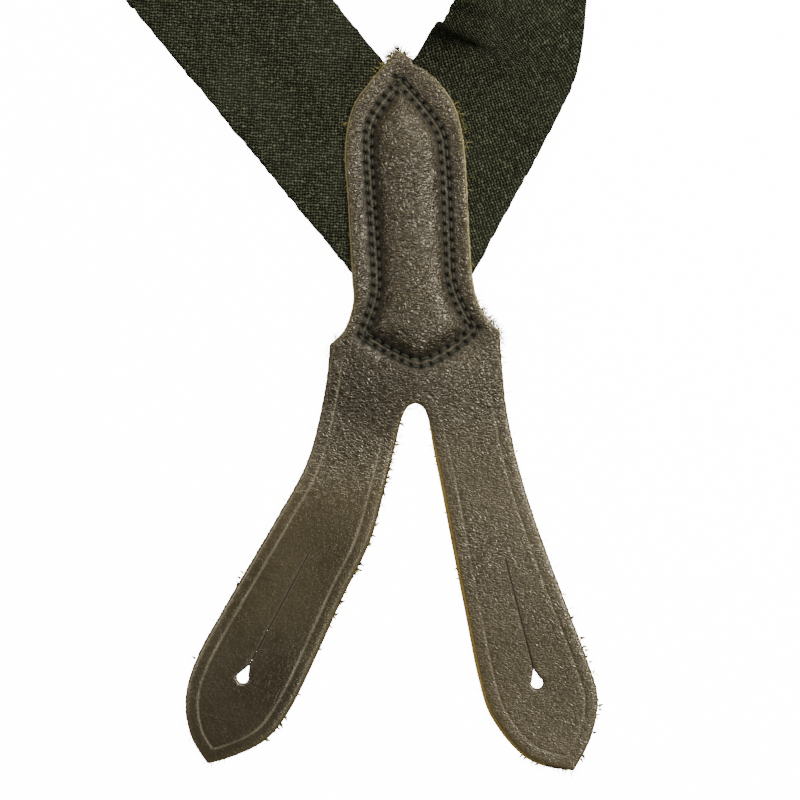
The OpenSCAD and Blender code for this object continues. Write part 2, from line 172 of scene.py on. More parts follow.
class Shader(Nodes):
    # one material and its nodes
    prefix = "ShaderNode"

    def __init__(self, name):
        self.material = bpy.data.materials.new(name)
        self.material.use_nodes = True
        super().__init__(self.material.node_tree)
        self.surface = self.tree.nodes["Principled BSDF"]

    def math(self, operation, a, b=0.0, clamp=False):
        return self.add("Math", {0: a, 1: b}, operation=operation, use_clamp=clamp).outputs[0]

    def times(self, a, b):
        return self.math("MULTIPLY", a, b)

    def plus(self, a, b, clamp=False):
        return self.math("ADD", a, b, clamp)

    def vector(self, operation, a, other):
        return self.add("VectorMath", {0: a, **other}, operation=operation).outputs[0]

    def mapped(self, at, scale=(1, 1, 1), turn=0.0):
        inputs = {"Vector": at, "Rotation": (0, 0, turn), "Scale": scale}
        return self.add("Mapping", inputs).outputs[0]

    def warped(self, at, scale, reach):
        # the same place, pushed about unevenly
        drift = self.add("TexNoise", {"Vector": at, "Scale": scale, "Detail": 2.0}).outputs["Color"]
        drift = self.vector("SUBTRACT", drift, {1: (0.5, 0.5, 0.5)})
        drift = self.vector("SCALE", drift, {"Scale": reach})
        return self.vector("ADD", at, {1: drift})

    def ramp(self, value, low, high, start=0.0, end=1.0):
        inputs = {"Value": value, "From Min": low, "From Max": high, "To Min": start, "To Max": end}
        return self.add("MapRange", inputs, interpolation_type="SMOOTHSTEP").outputs["Result"]

    def blend(self, factor, a, b, kind="MIX"):
        node = self.add("Mix", data_type="RGBA", blend_type=kind)
        self.put(node.inputs["Factor"], factor)
        self.put(node.inputs[6], a)
        self.put(node.inputs[7], b)
        return node.outputs[2]

    def shade(self, value, low, high, a, b):
        return self.blend(self.ramp(value, low, high), a, b)

    def objectAt(self):
        return self.add("TexCoord").outputs["Object"]

    def attribute(self, name, output="Fac"):
        return self.add("Attribute", attribute_name=name).outputs[output]

    def noise(self, at, scale, detail=3.0, roughness=0.5):
        inputs = {"Vector": at, "Scale": scale, "Detail": detail, "Roughness": roughness}
        return self.add("TexNoise", inputs).outputs["Fac"]

    def bumped(self, height, strength, distance, under=None):
        inputs = {"Height": height, "Strength": strength, "Distance": distance}
        if under is not None:
            inputs["Normal"] = under
        return self.add("Bump", inputs).outputs["Normal"]

    def finish(self, **inputs):
        for key, value in inputs.items():
            self.put(self.surface.inputs[key.replace("_", " ")], value)
        return self.material


def colour(r, g, b):
    return (r, g, b, 1.0)


# ---- materials

leatherLook = {
    "dark": colour(0.0185, 0.0145, 0.0056),
    "light": colour(0.0325, 0.0257, 0.0106),
    # colour of the painted light, where light falls on the leather
    "paintedLight": colour(0.082, 0.067, 0.036),
    # near-black for the painted shade in the grain's gaps, folds and fine hollows
    "crease": colour(0.0045, 0.0034, 0.0017),
    "worn": colour(0.125, 0.105, 0.055),
    # colour of the painted shade, where the leather lies in shade
    "deep": colour(0.0085, 0.0060, 0.0024),
    # pale colour of the pressed line: a painted highlight along its groove
    "pressed": colour(0.20, 0.185, 0.135),
    # near-black for the painted shade in needle holes, along the stitch rows and in slits
    "pitShade": colour(0.002, 0.002, 0.0015),
    "glint": colour(1.0, 0.965, 0.88),
    "grain": 900.0,        # pebbles per metre
    "shine": 0.75,
    "roughness": (0.28, 0.38),
}


def leatherMaterial():
    s = Shader("oliveBrownLeather")
    at = s.objectAt()
    stretched = s.mapped(s.warped(at, 520.0, 0.0016), (1, 1.7, 1), 0.2)
    gap = s.add("TexVoronoi", {"Vector": stretched, "Scale": leatherLook["grain"]},
                feature="DISTANCE_TO_EDGE").outputs["Distance"]
    pebble = s.ramp(gap, 0.0, 0.30)
    creases = s.noise(stretched, 560.0, 2.5, 0.5)
    broad = s.noise(at, 38.0, 3.0)
    fine = s.noise(at, 5200.0, 2.0)
    wear, pitShade, paintedLight, coarse, deep, pressed = [
        s.attribute(key) for key in ("edgeWear", "pitShade", "tone", "coarse", "deep", "pressed")]
    tone = s.shade(broad, 0.3, 0.7, leatherLook["dark"], leatherLook["light"])
    # painted light: lighter where light falls on the leather, from the tone attribute
    tone = s.blend(paintedLight, tone, leatherLook["paintedLight"])
    # painted shade: darker where the leather lies in shade
    tone = s.blend(deep, tone, leatherLook["deep"])
    # painted shade in the grain: the gaps between pebbles and the folds are darkened towards near-black
    gapShade = s.times(s.ramp(pebble, 1.0, 0.0), s.times(coarse, 0.85))
    foldShade = s.times(s.ramp(creases, 0.52, 0.30), s.times(coarse, 0.7))
    tone = s.blend(gapShade, tone, leatherLook["crease"])
    tone = s.blend(foldShade, tone, leatherLook["crease"])
    small = s.noise(s.mapped(at, (1, 1.6, 1)), 1900.0, 3.0, 0.6)
    # painted shade in the fine hollows of the grain
    tone = s.blend(s.times(s.ramp(small, 0.52, 0.34), 0.45), tone, leatherLook["crease"])
    tone = s.blend(s.times(wear, 0.7), tone, leatherLook["worn"])
    # the pressed line painted pale: a painted highlight along its groove
    tone = s.blend(s.times(pressed, 0.85), tone, leatherLook["pressed"])
    # painted shade in needle holes, along the stitch rows and in the slits
    tone = s.blend(pitShade, tone, leatherLook["pitShade"])
    rough = s.ramp(s.plus(s.times(broad, 0.6), s.times(fine, 0.4)),
                   0.3, 0.7, *leatherLook["roughness"])
    rough = s.plus(rough, s.times(pitShade, 1.2), True)
    relief = None
    for height, strength, distance in (
            (s.times(pebble, coarse), 0.85, 0.00017),
            (s.times(creases, coarse), 0.75, 0.00042),
            (small, 0.3, 0.00005), (fine, 0.15, 0.00004)):
        relief = s.bumped(height, strength, distance, relief)
    return s.finish(Base_Color=tone, Roughness=rough, Normal=relief,
                    Specular_IOR_Level=leatherLook["shine"], Specular_Tint=leatherLook["glint"])


def rawEdgeMaterial():
    s = Shader("rawLeatherEdge")
    at = s.objectAt()
    fibre = s.noise(at, 3000.0, 4.0, 0.7)
    broad = s.noise(at, 160.0, 3.0)
    stain = s.attribute("stain")
    pale = s.shade(fibre, 0.3, 0.7, colour(0.16, 0.145, 0.072), colour(0.40, 0.37, 0.21))
    warm = s.shade(fibre, 0.3, 0.7, colour(0.19, 0.125, 0.030), colour(0.46, 0.33, 0.10))
    dark = s.shade(fibre, 0.3, 0.7, colour(0.020, 0.016, 0.008), colour(0.075, 0.058, 0.026))
    tone = s.shade(stain, 0.0, 0.5, pale, warm)
    tone = s.shade(stain, 0.5, 1.0, tone, dark)
    tone = s.shade(broad, 0.55, 0.78, tone, colour(0.030, 0.026, 0.014))
    return s.finish(Base_Color=tone, Roughness=0.9, Normal=s.bumped(fibre, 0.8, 0.0002),
                    Specular_IOR_Level=0.2)


def fleshMaterial():
    s = Shader("leatherFleshSide")
    at = s.objectAt()
    nap = s.noise(at, 2400.0, 5.0, 0.7)
    cloud = s.noise(at, 60.0, 3.0)
    tone = s.shade(cloud, 0.3, 0.7, colour(0.10, 0.080, 0.042), colour(0.155, 0.125, 0.070))
    tone = s.blend(s.times(s.ramp(nap, 0.4, 0.7), 0.5), tone, colour(0.20, 0.165, 0.095))
    return s.finish(Base_Color=tone, Roughness=0.95, Normal=s.bumped(nap, 0.6, 0.00025),
                    Specular_IOR_Level=0.15)


webbingLook = {
    # near-black for the painted shade in the weave's hollows
    "pitShade": colour(0.0016, 0.0016, 0.0008),
    "yarn": colour(0.0205, 0.0240, 0.0138),
    # lighter colour for the painted highlight on the raised yarns
    "shine": colour(0.080, 0.093, 0.066),
    "cell": 0.69,          # pitch of the weave's slanting rows
    "slant": 0.74,         # their angle to the strap, in radians
}


def webbingMaterial():
    s = Shader("oliveElasticWebbing")
    at = s.attribute("clothAt", "Vector")
    turned = s.mapped(s.warped(at, 0.85, 1.05), turn=webbingLook["slant"])
    cloth = s.add("SeparateXYZ", {0: turned})
    u, v = [s.math("DIVIDE", cloth.outputs[k], webbingLook["cell"]) for k in (0, 1)]
    # each cell is a dome between its neighbours, along and across the slant
    dome = s.plus(*[s.times(s.math("POWER", s.math("SINE", s.times(s.math("FRACT", at), math.pi)), 2.0),
                            share) for at, share in ((u, 0.42), (v, 0.58))])
    cell = s.add("CombineXYZ", {"X": s.math("FLOOR", u), "Y": s.math("FLOOR", v)}).outputs[0]
    vary = s.add("TexWhiteNoise", {"Vector": cell}, noise_dimensions="3D").outputs["Value"]
    patch = s.noise(s.objectAt(), 60.0, 3.0)
    strand = s.noise(s.mapped(turned, (5, 1.6, 1)), 1.0, 3.0)
    raised = s.plus(dome, s.times(s.math("SUBTRACT", strand, 0.5), 0.70))
    raised = s.plus(raised, s.times(s.math("SUBTRACT", vary, 0.5), 0.30))
    # the weave's pattern, with its hollows painted near-black as painted shade
    tone = s.shade(raised, 0.22, 0.62, webbingLook["pitShade"], webbingLook["yarn"])
    # painted highlight: the raised yarn tops are painted lighter
    lift = s.times(s.ramp(raised, 0.55, 1.08), s.plus(s.times(vary, 0.55), 0.40))
    tone = s.blend(lift, tone, webbingLook["shine"])
    # random lighter patches in the same painted highlight colour
    tone = s.blend(s.times(s.ramp(patch, 0.45, 0.75), 0.10), tone, webbingLook["shine"])
    return s.finish(Base_Color=tone, Roughness=0.75, Normal=s.bumped(raised, 0.9, 0.00040),
                    Specular_IOR_Level=0.10)


def threadMaterial():
    s = Shader("darkGreenThread")
    twist = s.noise(s.objectAt(), 4200.0, 3.0)
    tone = s.shade(twist, 0.35, 0.7, colour(0.0025, 0.0045, 0.0025), colour(0.013, 0.020, 0.010))
    return s.finish(Base_Color=tone, Roughness=0.6, Normal=s.bumped(twist, 0.7, 0.00012))


def fibreMaterial():
    s = Shader("edgeFibre")
    cloud = s.noise(s.objectAt(), 900.0, 2.0)
    tone = s.shade(cloud, 0.4, 0.65, colour(0.045, 0.042, 0.018), colour(0.34, 0.30, 0.12))
    return s.finish(Base_Color=tone, Roughness=0.95, Specular_IOR_Level=0.1)


def brassMaterial():
    s = Shader("agedBrass")
    at = s.objectAt()
    brushed = s.noise(s.mapped(at, (1, 14, 1)), 320.0, 4.0)
    cloud = s.noise(at, 130.0, 4.0, 0.6)
    scratch = s.noise(s.mapped(at, (1, 30, 1), 0.6), 180.0, 2.0)
    tone = s.shade(cloud, 0.35, 0.7, colour(0.46, 0.31, 0.115), colour(0.30, 0.20, 0.080))
    tone = s.blend(s.times(s.ramp(scratch, 0.66, 0.74), 0.22), tone, colour(0.72, 0.56, 0.28))
    rough = s.ramp(s.plus(s.times(cloud, 0.6), s.times(brushed, 0.4)),
                   0.3, 0.7, 0.16, 0.36)
    return s.finish(Base_Color=tone, Roughness=rough, Metallic=1.0,
                    Normal=s.bumped(brushed, 0.12, 0.00005))


leather = leatherMaterial()
rawEdge = rawEdgeMaterial()
flesh = fleshMaterial()
webbing = webbingMaterial()
thread = threadMaterial()
fibre = fibreMaterial()
brass = brassMaterial()
print("materials made")


# ---- camera, floor and light

view = {
    "centre": (-2.4, -44.7),   # middle of the area in view
    "across": 190.0,           # its width
    "lens": 85.0,
    "level": 3.0,              # height at which that width is true
}


def makeCamera():
    data = bpy.data.cameras.new("camera")
    data.lens = view["lens"]
    data.clip_start = 0.01
    away = view["across"] * data.lens / data.sensor_width + view["level"]
    camera = addObject("camera", data)
    camera.location = (view["centre"][0] * mm, view["centre"][1] * mm, away * mm)
    bpy.context.scene.camera = camera


floorLook = {"half": 30000.0, "top": -0.4, "tone": colour(0.93, 0.93, 0.93), "glow": 14.0}


def makeFloor():
    s = Shader("paleFloor")
    s.finish(Base_Color=floorLook["tone"], Roughness=0.8, Specular_IOR_Level=0.1,
             Emission_Color=colour(1, 1, 1), Emission_Strength=floorLook["glow"])
    corners = [(x * floorLook["half"], y * floorLook["half"], floorLook["top"])
               for x, y in ((-1, -1), (1, -1), (1, 1), (-1, 1))]
    floor = makeMesh("floor", corners, [(0, 1, 2, 3)], [s.material])
    # the bright floor is seen directly, and throws no light up onto the object
    floor.visible_diffuse = False
    floor.visible_glossy = False


# name, place and aim in metres, size, power
lights = [
    ("keyFromRight", (0.72, 0.30, 0.75), (0, -0.02, 0), (0.30, 0.30), 17),
    ("topFill", (0.05, 0.75, 0.95), (0, 0, 0), (0.6, 0.4), 11),
    ("lowRight", (0.34, -0.36, 0.95), (0.02, -0.09, 0), (0.30, 0.30), 2.4),
    ("leftFill", (-0.60, 0.10, 0.60), (0, 0, 0), (0.40, 0.40), 3),
]
lightTint = (1.0, 0.935, 0.79)
worldTint, worldPower = colour(1.0, 0.95, 0.84), 0.12


def addLight(name, at, towards, size, power):
    data = bpy.data.lights.new(name, "AREA")
    data.shape = "RECTANGLE"
    data.size, data.size_y = size
    data.energy = power
    data.color = lightTint
    light = addObject(name, data)
    light.location = at
    aim = Vector(towards) - Vector(at)
    light.rotation_euler = aim.to_track_quat("-Z", "Y").to_euler()


def makeLights():
    world = bpy.data.worlds.new("studio")
    world.use_nodes = True
    background = world.node_tree.nodes["Background"]
    background.inputs["Color"].default_value = worldTint
    background.inputs["Strength"].default_value = worldPower
    bpy.context.scene.world = world
    for light in lights:
        addLight(*light)


makeCamera()
makeFloor()
makeLights()


# ---- leather pieces: a fine plan mesh lifted to a height, with a raw cut edge

shell = {
    "edgeStep": 0.5, "holeStep": 0.3,          # spacing of points along the outline and the holes
    "rowStep": 0.27, "rowReach": 1.5,          # finer grid along the stitch rows, and how far it goes
    "lineStep": 0.3, "lineClear": 0.7,
    "lineRows": (-0.45, -0.17, 0, 0.17, 0.45),
    "insets": (0.3, 0.7), "edgeClear": 1.0, "holeClear": 0.11,
    "onOutline": 0.13,                         # points nearer than this are on the outline
    "roundOff": (0.38, 0.32), "soften": (0.10, 0.15),
    "levels": (0.36, 0.72), "swell": 0.10, "ragged": 0.05,
    "flare": 0.12, "wear": 0.38,
}


def plainFinish(x, y, fromOutline):
    blank = np.zeros(len(x))
    return {"tone": blank, "pressed": blank, "coarse": blank + 0.6, "deep": blank, "stain": blank + 0.9}


def gridOver(low, high, step, rowStep, shifted=False):
    gx, gy = np.meshgrid(np.arange(low[0], high[0], step), np.arange(low[1], high[1], rowStep))
    if shifted:
        gx = gx + (np.arange(len(gy)) % 2)[:, None] * step / 2
    return np.stack([gx.ravel(), gy.ravel()], 1)


def planPoints(edge, holes, near, lines, grid):
    # points inside the outline, closer together where the surface needs them
    low, high = edge.min(0), edge.max(0)
    points = gridOver(low, high, grid, grid * 0.866, True)
    points = points[insideOf(points, edge)]
    if near:
        finer = gridOver(low, high, shell["rowStep"], shell["rowStep"])
        box = np.concatenate(near)
        finer = finer[np.all((finer > box.min(0) - 2) & (finer < box.max(0) + 2), axis=1)]
        reach = np.min([distanceTo(finer, row) for row in near], axis=0)
        finer = finer[(reach < shell["rowReach"]) & insideOf(finer, edge)]
        reach = np.min([distanceTo(points, row) for row in near], axis=0)
        points = np.concatenate([points[reach >= shell["rowReach"]], finer])
    for line in lines:
        # rows of points that follow a pressed line or a slit
        line = resample(line, shell["lineStep"], False)
        left = leftOf(np.gradient(line, axis=0), 1e-9)
        rows = np.concatenate([line + left * off for off in shell["lineRows"]])
        clear = distanceTo(points, line, False) > shell["lineClear"]
        points = np.concatenate([points[clear], rows[insideOf(rows, edge)]])
    inwards = leftOf(np.roll(edge, -1, axis=0) - np.roll(edge, 1, axis=0))
    rings = np.concatenate([edge + inwards * inset for inset in shell["insets"]])
    expected = np.repeat(shell["insets"], len(edge))
    rings = rings[(distanceTo(rings, edge) > expected * 0.9) & insideOf(rings, edge)]
    points = np.concatenate([rings, points[distanceTo(points, edge) > shell["edgeClear"]]])
    for hole in holes:
        points = points[~insideOf(points, hole)]
        points = points[distanceTo(points, hole) > shell["holeClear"]]
    return points


def planMesh(edge, holes, points):
    # triangles between those points, cut along the outline and the holes
    loops, flat = [], []
    for loop in [edge] + holes:
        start = len(flat)
        flat += [tuple(q) for q in loop]
        loops += [(start + i, start + (i + 1) % len(loop)) for i in range(len(loop))]
    flat += [tuple(q) for q in points]
    made = delaunay_2d_cdt([Vector(q) for q in flat], loops, [], 0, 1e-5)
    plan = np.array([(v.x, v.y) for v in made[0]])
    tris = np.array(list(made[2]))
    middle = plan[tris].mean(axis=1)
    keep = insideOf(middle, edge)
    for hole in holes:
        keep &= ~insideOf(middle, hole)
    tris = tris[keep]
    a, b, c = plan[tris[:, 0]], plan[tris[:, 1]], plan[tris[:, 2]]
    turn = (b[:, 0] - a[:, 0]) * (c[:, 1] - a[:, 1]) - (b[:, 1] - a[:, 1]) * (c[:, 0] - a[:, 0])
    tris[turn < 0] = tris[turn < 0][:, ::-1]
    used = np.unique(tris)
    index = np.full(len(plan), -1)
    index[used] = np.arange(len(used))
    return plan[used], index[tris]


def rimOf(plan, tris):
    # the edges that one triangle alone has, their points, and the way outwards at each point
    sides = np.concatenate([tris[:, [0, 1]], tris[:, [1, 2]], tris[:, [2, 0]]])
    seen = {(int(i), int(j)) for i, j in sides}
    rim = [(i, j) for i, j in seen if (j, i) not in seen]
    out = np.zeros((len(plan), 2))
    for i, j in rim:
        d = plan[j] - plan[i]
        n = np.array([d[1], -d[0]]) / (np.linalg.norm(d) + 1e-9)
        out[i] += n
        out[j] += n
    length = np.linalg.norm(out, axis=1)
    onRim = np.flatnonzero(length > 0)
    out[onRim] /= length[onRim][:, None]
    return rim, onRim, out


def leatherShell(name, outline, cuts, heightAt, thick, near=(), lines=(), flareAt=None,
                 finishAt=plainFinish, grid=0.8):
    edge = resample(outline, shell["edgeStep"])
    holes = [resample(cut, shell["holeStep"]) for cut in cuts]
    plan, tris = planMesh(edge, holes, planPoints(edge, holes, near, lines, grid))
    count = len(plan)
    fromEdge = np.min([distanceTo(plan, loop) for loop in [edge] + holes], axis=0)
    fromOutline = distanceTo(plan, edge)
    z, pitShade = heightAt(plan[:, 0], plan[:, 1], fromOutline)
    for (drop, over), far in ((shell["roundOff"], fromOutline), (shell["soften"], fromEdge)):
        z = z - drop * np.exp(-far / over)
    rim, onRim, out = rimOf(plan, tris)
    flare = flareAt(plan[:, 0], plan[:, 1]) if flareAt else np.full(count, shell["flare"])
    flare = np.where(fromOutline < shell["onOutline"], flare, 0.0)
    under = plan + out * flare[:, None]
    verts = [np.column_stack([plan, z]), np.column_stack([under, np.maximum(z - thick, 0)])]
    ragged = rng.normal(0, shell["ragged"], (len(shell["levels"]), len(onRim)))
    for uneven, share in zip(ragged, shell["levels"]):
        swell = shell["swell"] * math.sin(math.pi * share) + share * flare[onRim] + uneven
        at = plan[onRim] + out[onRim] * swell[:, None]
        verts.append(np.column_stack([at, z[onRim] - thick * share]))
    faces = [tuple(t) for t in tris] + [tuple(t[::-1] + count) for t in tris]
    slots = [0] * len(tris) + [2] * len(tris)
    order = {int(v): k for k, v in enumerate(onRim)}
    first, second = 2 * count, 2 * count + len(onRim)
    for i, j in rim:
        a, b = order[i], order[j]
        rows = [(i, j), (first + a, first + b), (second + a, second + b), (count + i, count + j)]
        for (t1, t2), (b1, b2) in zip(rows, rows[1:]):
            faces.append((b1, b2, t2, t1))
            slots.append(1)
    finish = finishAt(plan[:, 0], plan[:, 1], fromOutline)
    finish["edgeWear"] = np.exp(-fromOutline / shell["wear"])
    finish["pitShade"] = pitShade
    attributes = {key: np.concatenate([value, value, value[onRim], value[onRim]])
                  for key, value in finish.items()}
    obj = makeMesh(name, np.concatenate(verts), faces, [leather, rawEdge, flesh], slots, attributes)
    edgeAt = [(plan[i], z[i] - thick * 0.5, out[i]) for i in onRim
              if fromOutline[i] < shell["onOutline"]]
    return obj, edgeAt


# ---- Geometry Nodes: small shapes set along lines and edges

def scatterTree(name, shape):
    tree = bpy.data.node_groups.new(name, "GeometryNodeTree")
    for label, kind in (("Geometry", "Geometry"), ("Length", "Float"), ("Thickness", "Float"),
                        ("Variation", "Float"), ("Seed", "Int"), ("Material", "Material")):
        tree.interface.new_socket(label, in_out="INPUT", socket_type="NodeSocket" + kind)
    tree.interface.new_socket("Geometry", in_out="OUTPUT", socket_type="NodeSocketGeometry")
    nodes = Nodes(tree)
    given = nodes.add("NodeGroupInput").outputs
    if shape == "stitch":
        axis, across = "X", "YZ"
        body = nodes.add("GeometryNodeMeshUVSphere", {"Segments": 10, "Rings": 6, "Radius": 0.5})
    else:
        axis, across = "Z", "XY"
        body = nodes.add("GeometryNodeMeshCone", {"Vertices": 4, "Radius Bottom": 0.5,
                                                  "Radius Top": 0.12, "Depth": 1.0})
    size = nodes.add("ShaderNodeCombineXYZ", {axis: given["Length"], across[0]: given["Thickness"],
                                              across[1]: given["Thickness"]})
    shaped = nodes.add("GeometryNodeTransform", {"Geometry": body.outputs["Mesh"],
                                                 "Scale": size.outputs[0]})
    along = nodes.add("GeometryNodeInputNamedAttribute", {"Name": "along"}, data_type="FLOAT_VECTOR")
    turned = nodes.add("FunctionNodeAlignRotationToVector", {"Vector": along.outputs["Attribute"]},
                       axis=axis)
    low, high = [nodes.add("ShaderNodeMath", {0: 1.0, 1: given["Variation"]}, operation=operation)
                 for operation in ("SUBTRACT", "ADD")]
    # of this node's sockets, inputs 2 and 3 and output 1 are the ones for a plain number
    chance = nodes.add("FunctionNodeRandomValue", {2: low.outputs[0], 3: high.outputs[0],
                                                   "Seed": given["Seed"]}, data_type="FLOAT")
    placed = nodes.add("GeometryNodeInstanceOnPoints", {
        "Points": given["Geometry"], "Instance": shaped.outputs["Geometry"],
        "Rotation": turned.outputs["Rotation"], "Scale": chance.outputs[1]})
    real = nodes.add("GeometryNodeRealizeInstances", {"Geometry": placed.outputs["Instances"]})
    painted = nodes.add("GeometryNodeSetMaterial", {"Geometry": real.outputs["Geometry"],
                                                    "Material": given["Material"]})
    nodes.add("NodeGroupOutput", {"Geometry": painted.outputs["Geometry"]})
    return tree


stitchTree = scatterTree("stitchesAlongRow", "stitch")
fibreTree = scatterTree("fibresAlongEdge", "fibre")


def scatter(name, tree, points, along, size, variation, seed, material):
    # points and directions in millimetres; size is (length, thickness)
    base = makeMesh(name + "Points", points, [], [], attributes={"along": np.asarray(along)})
    modifier = base.modifiers.new("set", "NODES")
    modifier.node_group = tree
    values = {"Length": size[0] * mm, "Thickness": size[1] * mm, "Variation": variation,
              "Seed": seed, "Material": material}
    for item in tree.interface.items_tree:
        if item.in_out == "INPUT" and item.name in values:
            modifier[item.identifier] = values[item.name]
    bpy.context.view_layer.update()
    ready = base.evaluated_get(bpy.context.evaluated_depsgraph_get())
    mesh = bpy.data.meshes.new_from_object(ready)
    mesh.name = name
    mesh.polygons.foreach_set("use_smooth", np.full(len(mesh.polygons), True))
    obj = addObject(name, mesh)
    bpy.data.objects.remove(base)
    return obj


def stitchPlaces(row, pitch):
    spots = resample(row, pitch)
    ahead = np.roll(spots, -1, axis=0) - np.roll(spots, 1, axis=0)
    return spots, ahead / np.linalg.norm(ahead, axis=1)[:, None]


def insetLine(line, by):
    line = np.array(line)
    return line + by * leftOf(np.roll(line, -1, axis=0) - np.roll(line, 1, axis=0))


def keyholeOutline(hole, slit, radius, width):
    # a teardrop hole that runs up into a thin slit, as one closed line
    hole, slit = np.array(hole, float), np.array(slit, float)
    way = (slit - hole) / np.linalg.norm(slit - hole)
    side = np.array([way[1], -way[0]])
    neck = hole + way * radius * 2.3
    line = [slit, mix(slit, neck, 0.5) + side * width * 0.4, neck + side * width]
    facing = math.atan2(way[1], way[0])
    for k in range(13):
        angle = facing - 0.75 - k * (2 * math.pi - 1.5) / 12
        line.append(hole + radius * np.array([math.cos(angle), math.sin(angle)]))
    line += [neck - side * width, mix(slit, neck, 0.5) - side * width * 0.4]
    return line[::-1]


fuzzLook = {
    "everywhere": 0.03,      # how likely fibres are away from the tufts
    "spread": 0.9, "upward": 0.45, "upDown": 0.3,
    "proud": 0.1,            # how far out of the edge they start
    "variation": 0.6,
}
stitchLook = {"variation": 0.07, "proud": 0.06}


def fuzz(name, edgeAt, count, size, seed, body, tufts):
    # loose fibres standing out of a cut edge; tufts are (centre, reach, weight)
    local = np.random.default_rng(seed)
    weight = np.array([fuzzLook["everywhere"]
                       + sum(math.exp(-math.dist(q[0], c) ** 2 / (2 * reach ** 2)) * w
                             for c, reach, w in tufts) for q in edgeAt])
    picks = local.choice(len(edgeAt), count, p=weight / weight.sum())
    points, along = [], []
    for k in picks:
        (x, y), z, (ox, oy) = edgeAt[k]
        way = np.array([ox, oy, 0]) + local.normal(0, fuzzLook["spread"], 3) * (1, 1, fuzzLook["upward"])
        way /= np.linalg.norm(way)
        at = np.array([x + ox * fuzzLook["proud"], y + oy * fuzzLook["proud"],
                       z + local.normal(0, fuzzLook["upDown"])])
        points.append(at + way * size[0] * 0.35)
        along.append(way)
    obj = scatter(name, fibreTree, points, along, size, fuzzLook["variation"], seed, fibre)
    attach(obj, body)
    return obj


# ---- the yoke

yoke = {
    "thick": 1.6, "backingThick": 1.2, "strapThick": 1.6,
    "tailFlat": 1.6,         # top of the tails where they lie flat
    "rampTop": -36.0, "rampFoot": -60.0,
    "crown": 2.1,            # height of the raised panel over its flange
    "crownReach": 7.0,       # distance over which it rises
    "rowGap": 1.7, "stitchPitch": 2.42,
    "creaseInset": 3.0,
    "leftHole": (-39.9, -110.9), "leftSlit": (-24.0, -81.0),
    "rightHole": (30.3, -112.2), "rightSlit": (22.8, -82.9),
    "holeRadius": 1.5, "slitWidth": 0.09,
    # depth and reach of the rows, the seam between them, the holes, the flange and the pressed line
    "rowDip": (0.24, 0.62), "seamDip": (0.34, 1.25), "needle": (0.95, 0.50), "flangeDip": (0.62, 3.6),
    "crease": (0.09, 0.20),
    "stitchSize": (2.05, 0.62),
}
backingGrid = 1.6
patchLeft = [(-3.1, 38), (-8.6, 31.5), (-13.4, 24.6), (-15.2, 14.5), (-14.6, 4), (-13.5, -15),
             (-13.2, -21.5), (-15.2, -27.8), (-19, -31.6)]
patchRight = [(21.2, -28.6), (17.1, -24), (14.8, -17.5), (13.8, -6.2), (13.1, 8.1), (12.1, 18.5),
              (9.6, 26.4), (3.6, 33.8), (-3.1, 38)]
patchBottom = [(-19, -31.6), (-8, -36), (2, -39), (12, -35), (21.2, -28.6)]
tailLeft = [(-19, -31.6), (-20.1, -42), (-24.2, -58.9), (-31.8, -73.2), (-43, -92.2),
            (-50.8, -106.4), (-53.4, -116), (-52.3, -124.5), (-48.2, -131.3)]
insideLeft = [(-48.2, -131.3), (-41.5, -129.2), (-34.4, -125.4), (-29, -118.5), (-23, -106.4),
              (-16.6, -92.2), (-9.7, -77.9), (-5.9, -63.7), (-2.8, -51.2), (-1.9, -48.3), (-0.5, -46.1),
              (1.2, -45.3)]
insideRight = [(1.2, -45.3), (2.9, -46.0), (4.1, -47.9), (5.0, -51.0), (7.8, -63.7), (10.5, -77.9),
               (14.2, -96.9), (17.1, -111.2), (20.4, -120.7), (28.4, -129.8), (39, -133)]
tailRight = [(39, -133), (43, -125.4), (44.7, -116), (42, -106.4), (36.6, -92.2), (31.3, -77.9),
             (26.6, -63.7), (23.3, -49.4), (21.9, -38), (21.2, -28.6)]
yokeOutline = [q for part in (patchLeft, tailLeft, insideLeft, insideRight, tailRight, patchRight)
               for q in smoothLine(part)]
patchOutline = [q for part in (patchLeft, patchBottom, patchRight) for q in smoothLine(part)]
rowLeft = [(-2.4, 32.1), (-9, 23.4), (-10.7, 15), (-9, -12), (-9.2, -20.5), (-12.4, -29.5)]
rowFoot = [(-12.4, -29.5), (-4, -34.6), (2.1, -36.8), (9, -34), (16, -28.5)]
rowRight = [(16, -28.5), (11, -18.5), (10, -9), (9, 11.2), (7, 20.5), (-2.4, 32.1)]
outerRow = [q for part in (rowLeft, rowFoot, rowRight) for q in smoothLine(part)]
innerRow = resample(insetLine(resample(outerRow, 0.8), yoke["rowGap"]), 0.8)
seamLine = resample(insetLine(resample(outerRow, 0.8), yoke["rowGap"] / 2), 0.8)
outerRow = resample(outerRow, 0.8)


def rowHoles(row, pitch):
    # where the needle went in: between each stitch and the next
    spots, ahead = stitchPlaces(row, pitch)
    return spots + ahead * pitch / 2


